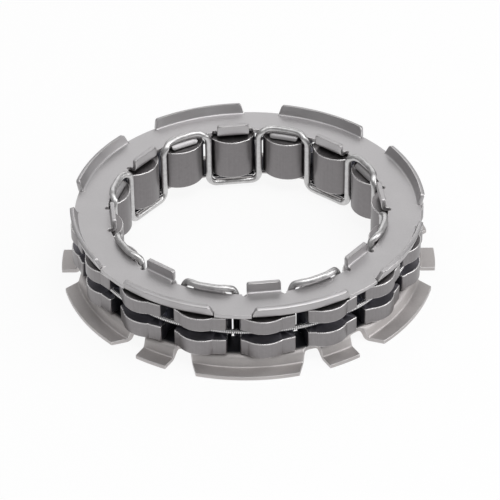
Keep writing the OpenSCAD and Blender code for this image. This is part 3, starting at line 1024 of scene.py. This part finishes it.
def coil_tree():
    """A close-wound coil bent into a ring, as one endless helix."""
    tree, given = new_geometry_tree(
        "garter_coil",
        [
            ("Ring radius", "NodeSocketFloat"), ("Height", "NodeSocketFloat"),
            ("Coil diameter", "NodeSocketFloat"), ("Wire diameter", "NodeSocketFloat"),
            ("Turns", "NodeSocketInt"), ("Points a turn", "NodeSocketInt"),
            ("Wire sides", "NodeSocketInt"),
        ],
    )
    count = add(
        tree, "ShaderNodeMath", {"operation": "MULTIPLY"},
        {0: given["Turns"], 1: given["Points a turn"]},
    )
    ring = add(
        tree, "GeometryNodeCurvePrimitiveCircle",
        inputs={"Resolution": count.outputs[0], "Radius": given["Ring radius"]},
    )
    place = add(tree, "GeometryNodeInputPosition")
    outward = add(tree, "ShaderNodeVectorMath", {"operation": "NORMALIZE"}, {0: place.outputs[0]})
    number = add(tree, "GeometryNodeInputIndex")
    share = add(
        tree, "ShaderNodeMath", {"operation": "DIVIDE"},
        {0: number.outputs[0], 1: given["Points a turn"]},
    )
    angle = add(tree, "ShaderNodeMath", {"operation": "MULTIPLY"}, {0: share.outputs[0], 1: 2 * pi})
    wide = add(
        tree, "ShaderNodeMath", {"operation": "SUBTRACT"},
        {0: given["Coil diameter"], 1: given["Wire diameter"]},
    )
    wind = add(tree, "ShaderNodeMath", {"operation": "DIVIDE"}, {0: wide.outputs[0], 1: 2.0})
    across = add(tree, "ShaderNodeMath", {"operation": "COSINE"}, {0: angle.outputs[0]})
    rise = add(tree, "ShaderNodeMath", {"operation": "SINE"}, {0: angle.outputs[0]})
    out_by = add(
        tree, "ShaderNodeMath", {"operation": "MULTIPLY"},
        {0: across.outputs[0], 1: wind.outputs[0]},
    )
    up_by = add(
        tree, "ShaderNodeMath", {"operation": "MULTIPLY_ADD"},
        {0: rise.outputs[0], 1: wind.outputs[0], 2: given["Height"]},
    )
    flat_move = add(
        tree, "ShaderNodeVectorMath", {"operation": "SCALE"},
        {0: outward.outputs[0], "Scale": out_by.outputs[0]},
    )
    lift = add(tree, "ShaderNodeCombineXYZ", inputs={"Z": up_by.outputs[0]})
    move = add(
        tree, "ShaderNodeVectorMath", {"operation": "ADD"},
        {0: flat_move.outputs[0], 1: lift.outputs[0]},
    )
    helix = add(
        tree, "GeometryNodeSetPosition",
        inputs={"Geometry": ring.outputs[0], "Offset": move.outputs[0]},
    )
    half = add(tree, "ShaderNodeMath", {"operation": "DIVIDE"}, {0: given["Wire diameter"], 1: 2.0})
    section = add(
        tree, "GeometryNodeCurvePrimitiveCircle",
        inputs={"Resolution": given["Wire sides"], "Radius": half.outputs[0]},
    )
    coil = add(
        tree, "GeometryNodeCurveToMesh",
        inputs={"Curve": helix.outputs[0], "Profile Curve": section.outputs[0]},
    )
    end_geometry_tree(tree, coil.outputs[0], spring_steel)
    return tree


def place_tree():
    """A sprag set out at its number's place round the clutch, with its faces' own finishes."""
    tree, given = new_geometry_tree(
        "sprag_place",
        [
            ("First angle", "NodeSocketFloat"), ("Step angle", "NodeSocketFloat"),
            ("Number", "NodeSocketInt"),
        ],
    )
    turn = add(
        tree, "ShaderNodeMath", {"operation": "MULTIPLY_ADD"},
        {0: given["Number"], 1: given["Step angle"], 2: given["First angle"]},
    )
    spin = add(tree, "ShaderNodeCombineXYZ", inputs={"Z": turn.outputs[0]})
    placed = add(
        tree, "GeometryNodeTransform",
        inputs={"Geometry": given["Geometry"], "Rotation": spin.outputs[0]},
    )
    end_geometry_tree(tree, placed.outputs[0], None)
    return tree


# The retaining wire's path


def wire_points():
    """The wire's centreline round the clutch: a crown over every second sprag, and a low run
    under the others."""
    leg_x, leg_y = polar(LEG_RING_R, SPRAG_STEP / 2)
    mid_z = (CROWN_Z + RUN_Z) / 2
    # A crown leans out, quickly at first, from just above the plate to a way along its straight
    start = CROWN_BEND_R * asin((UPPER_TOP_Z + LEAN_RISE - CROWN_Z + CROWN_BEND_R) / CROWN_BEND_R)
    end = CROWN_BEND_R * pi / 2 + LEAN_SHARE * (leg_y - CROWN_BEND_R)
    points = []
    for i in range(SPRAGS):
        side, end_z, r = (-1, RUN_Z, LOW_BEND_R) if i % 2 == 0 else (1, CROWN_Z, CROWN_BEND_R)
        lean = CROWN_R - leg_x if side > 0 else 0
        # Half of the bay, up or down a leg and round its bend to the middle, with the way gone
        # along it. cy and cz are the bend's centre.
        cy, cz = leg_y - r, end_z - side * r
        half = [(-leg_y, z, 0) for z in spread(mid_z, cz, 4)[:-1]]
        for a in spread(0, pi / 2, 14):
            half.append((-cy - r * cos(a), cz + side * r * sin(a), r * a))
        half += [(y, end_z, r * pi / 2 + cy + y) for y in spread(-cy, 0, 8)[1:]]
        for y, z, way in half + [(-y, z, way) for y, z, way in half[-2:0:-1]]:
            t = max(0.0, min(1.0, (way - start) / (end - start)))
            x = leg_x + lean * (1 - (1 - t) ** 2) * min(1, LEAN_EASE * t) ** 0.5
            points.append((*turned(x, y, FIRST_SPRAG_A + SPRAG_STEP * i), z))
    return points


def wire_blank():
    points = wire_points()
    mesh = bpy.data.meshes.new("wire_path")
    n = len(points)
    mesh.from_pydata([Vector(p) * MM for p in points], [(i, (i + 1) % n) for i in range(n)], [])
    made = bpy.data.objects.new("wire_path", mesh)
    bpy.context.scene.collection.objects.link(made)
    return made


# Building the pieces

SHEET_EDGE_SLOT = 1
upper_plate = make_upper_plate([upper_steel, cut_edge])
soften_edges(upper_plate, SHEET_EDGE_W, SHEET_EDGE_SLOT, SHARP_A)
lower_plate = make_lower_plate([flange_steel, cut_edge])
soften_edges(lower_plate, SHEET_EDGE_W, SHEET_EDGE_SLOT, SHARP_A)

blank = wire_blank()
wire_sizes = {"Wire diameter": WIRE_D * MM, "Sides": 20}
wire = grown(blank, wire_tree(), wire_sizes, "retaining_wire_round")
coil = grown(
    blank,
    coil_tree(),
    {
        "Ring radius": COIL_RING_R * MM,
        "Height": COIL_Z * MM,
        "Coil diameter": COIL_D * MM,
        "Wire diameter": COIL_WIRE_D * MM,
        "Turns": round(2 * pi * COIL_RING_R / COIL_PITCH),
        "Points a turn": 12,
        "Wire sides": 6,
    },
    "garter_spring_coil",
)
bpy.data.objects.remove(blank)

sprag_blank = sprag_mesh([sprag_steel, sprag_scale, sprag_edge])
tree = place_tree()
sprags = []
angles = {"First angle": radians(FIRST_SPRAG_A), "Step angle": radians(SPRAG_STEP)}
for number in range(SPRAGS):
    made = grown(sprag_blank, tree, {**angles, "Number": number}, f"sprag_{number + 1:02d}_ground")
    soften_edges(made, SPRAG_EDGE_W, EDGE)
    sprags.append(made)
bpy.data.objects.remove(sprag_blank)

for piece, node, slot in (
    (upper_plate, "upper_plate", "upper_sheet_steel"),
    (lower_plate, "lower_plate", "flange_sheet_steel"),
    (wire, "retaining_wire", "drawn_wire_steel"),
    (coil, "garter_spring", "spring_wire_steel"),
):
    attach(piece, "cage")
    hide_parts(node)
for number, piece in enumerate(sprags, 1):
    node = f"sprag_{number:02d}"
    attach(piece, node)
    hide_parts(node)


# The studio

FLOOR_HALF = 900
WHITE_SHARE = 0.9
corners = [(x * FLOOR_HALF, y * FLOOR_HALF, 0) for x, y in ((-1, -1), (1, -1), (1, 1), (-1, 1))]
floor = mesh_object("floor", corners, [(0, 1, 2, 3)], [])
# White paper. The camera and the metal see it mostly as plain white, and the rest of it takes the
# clutch's shadow.
paper, tree = new_material("white_paper_sweep")
rays = add(tree, "ShaderNodeLightPath")
seen = add(
    tree, "ShaderNodeMath", {"operation": "MAXIMUM"},
    {0: rays.outputs["Is Camera Ray"], 1: rays.outputs["Is Glossy Ray"]},
)
seen_or_through = add(
    tree, "ShaderNodeMath", {"operation": "MAXIMUM"},
    {0: seen.outputs[0], 1: rays.outputs["Is Transmission Ray"]},
)
share = add(
    tree, "ShaderNodeMath", {"operation": "MULTIPLY"},
    {0: seen_or_through.outputs[0], 1: WHITE_SHARE},
)
matt = add(tree, "ShaderNodeBsdfDiffuse", inputs={"Color": linear("#f4f4f4")})
glow = add(tree, "ShaderNodeEmission", inputs={"Color": linear("#ffffff"), "Strength": 1.0})
both = add(
    tree, "ShaderNodeMixShader",
    inputs={0: share.outputs[0], 1: matt.outputs[0], 2: glow.outputs[0]},
)
add(tree, "ShaderNodeOutputMaterial", inputs={"Surface": both.outputs[0]})
floor.data.materials.append(paper)

world = bpy.data.worlds.new("studio")
bpy.context.scene.world = world
world.use_nodes = True
tree = world.node_tree
tree.nodes.clear()
room = add(tree, "ShaderNodeBackground", inputs={"Color": linear("#959595"), "Strength": 1.0})
add(tree, "ShaderNodeOutputWorld", inputs={"Surface": room.outputs[0]})


def softbox(name, place, size, watts):
    """A soft lamp that looks at the clutch."""
    lamp = bpy.data.lights.new(name, "AREA")
    lamp.shape = "RECTANGLE"
    lamp.size, lamp.size_y = (s * MM for s in size)
    lamp.energy = watts
    made = bpy.data.objects.new(name, lamp)
    made.location = Vector(place) * MM
    made.rotation_mode = "QUATERNION"
    made.rotation_quaternion = (-Vector(place)).to_track_quat("-Z", "Y")
    made.visible_camera = False
    bpy.context.scene.collection.objects.link(made)


softbox("overhead right", (160, -110, 520), (420, 380), 1.5)
softbox("overhead left", (-220, -40, 480), (300, 340), 0.4)
softbox("behind", (0, 520, 340), (700, 260), 0.74)
softbox("right", (520, -60, 230), (300, 240), 0.9)
softbox("low in front", (0, -620, 60), (500, 90), 0.1)

# The camera stands where the photograph's stood, and looks a little below the plate, as it did
azimuth, elevation, roll = (radians(a) for a in (CAMERA_AZIMUTH, CAMERA_ELEVATION, CAMERA_ROLL))
target = Vector((0, 0, UPPER_TOP_Z))
level = cos(elevation)
back = Vector((sin(azimuth) * level, -cos(azimuth) * level, sin(elevation)))
right = Vector((cos(azimuth), sin(azimuth), 0))
above = back.cross(right)
image_right = cos(roll) * right - sin(roll) * above
image_up = sin(roll) * right + cos(roll) * above
per_px = CAMERA_DISTANCE / FOCAL_PX
off_x, off_y = (PHOTO_PX / 2 - c for c in TARGET_PX)
aim = target + image_right * off_x * per_px - image_up * off_y * per_px
camera_data = bpy.data.cameras.new("camera")
camera_data.sensor_width = 36
camera_data.lens = FOCAL_PX / PHOTO_PX * camera_data.sensor_width
camera = bpy.data.objects.new("camera", camera_data)
bpy.context.scene.collection.objects.link(camera)
bpy.context.scene.camera = camera
place = target + back * CAMERA_DISTANCE
look_back = (place - aim).normalized()
across = (image_right - look_back * image_right.dot(look_back)).normalized()
upright = look_back.cross(across)
camera.matrix_world = Matrix((
    (across.x, upright.x, look_back.x, place.x * MM),
    (across.y, upright.y, look_back.y, place.y * MM),
    (across.z, upright.z, look_back.z, place.z * MM),
    (0, 0, 0, 1),
))

bpy.context.scene.view_settings.view_transform = "Standard"
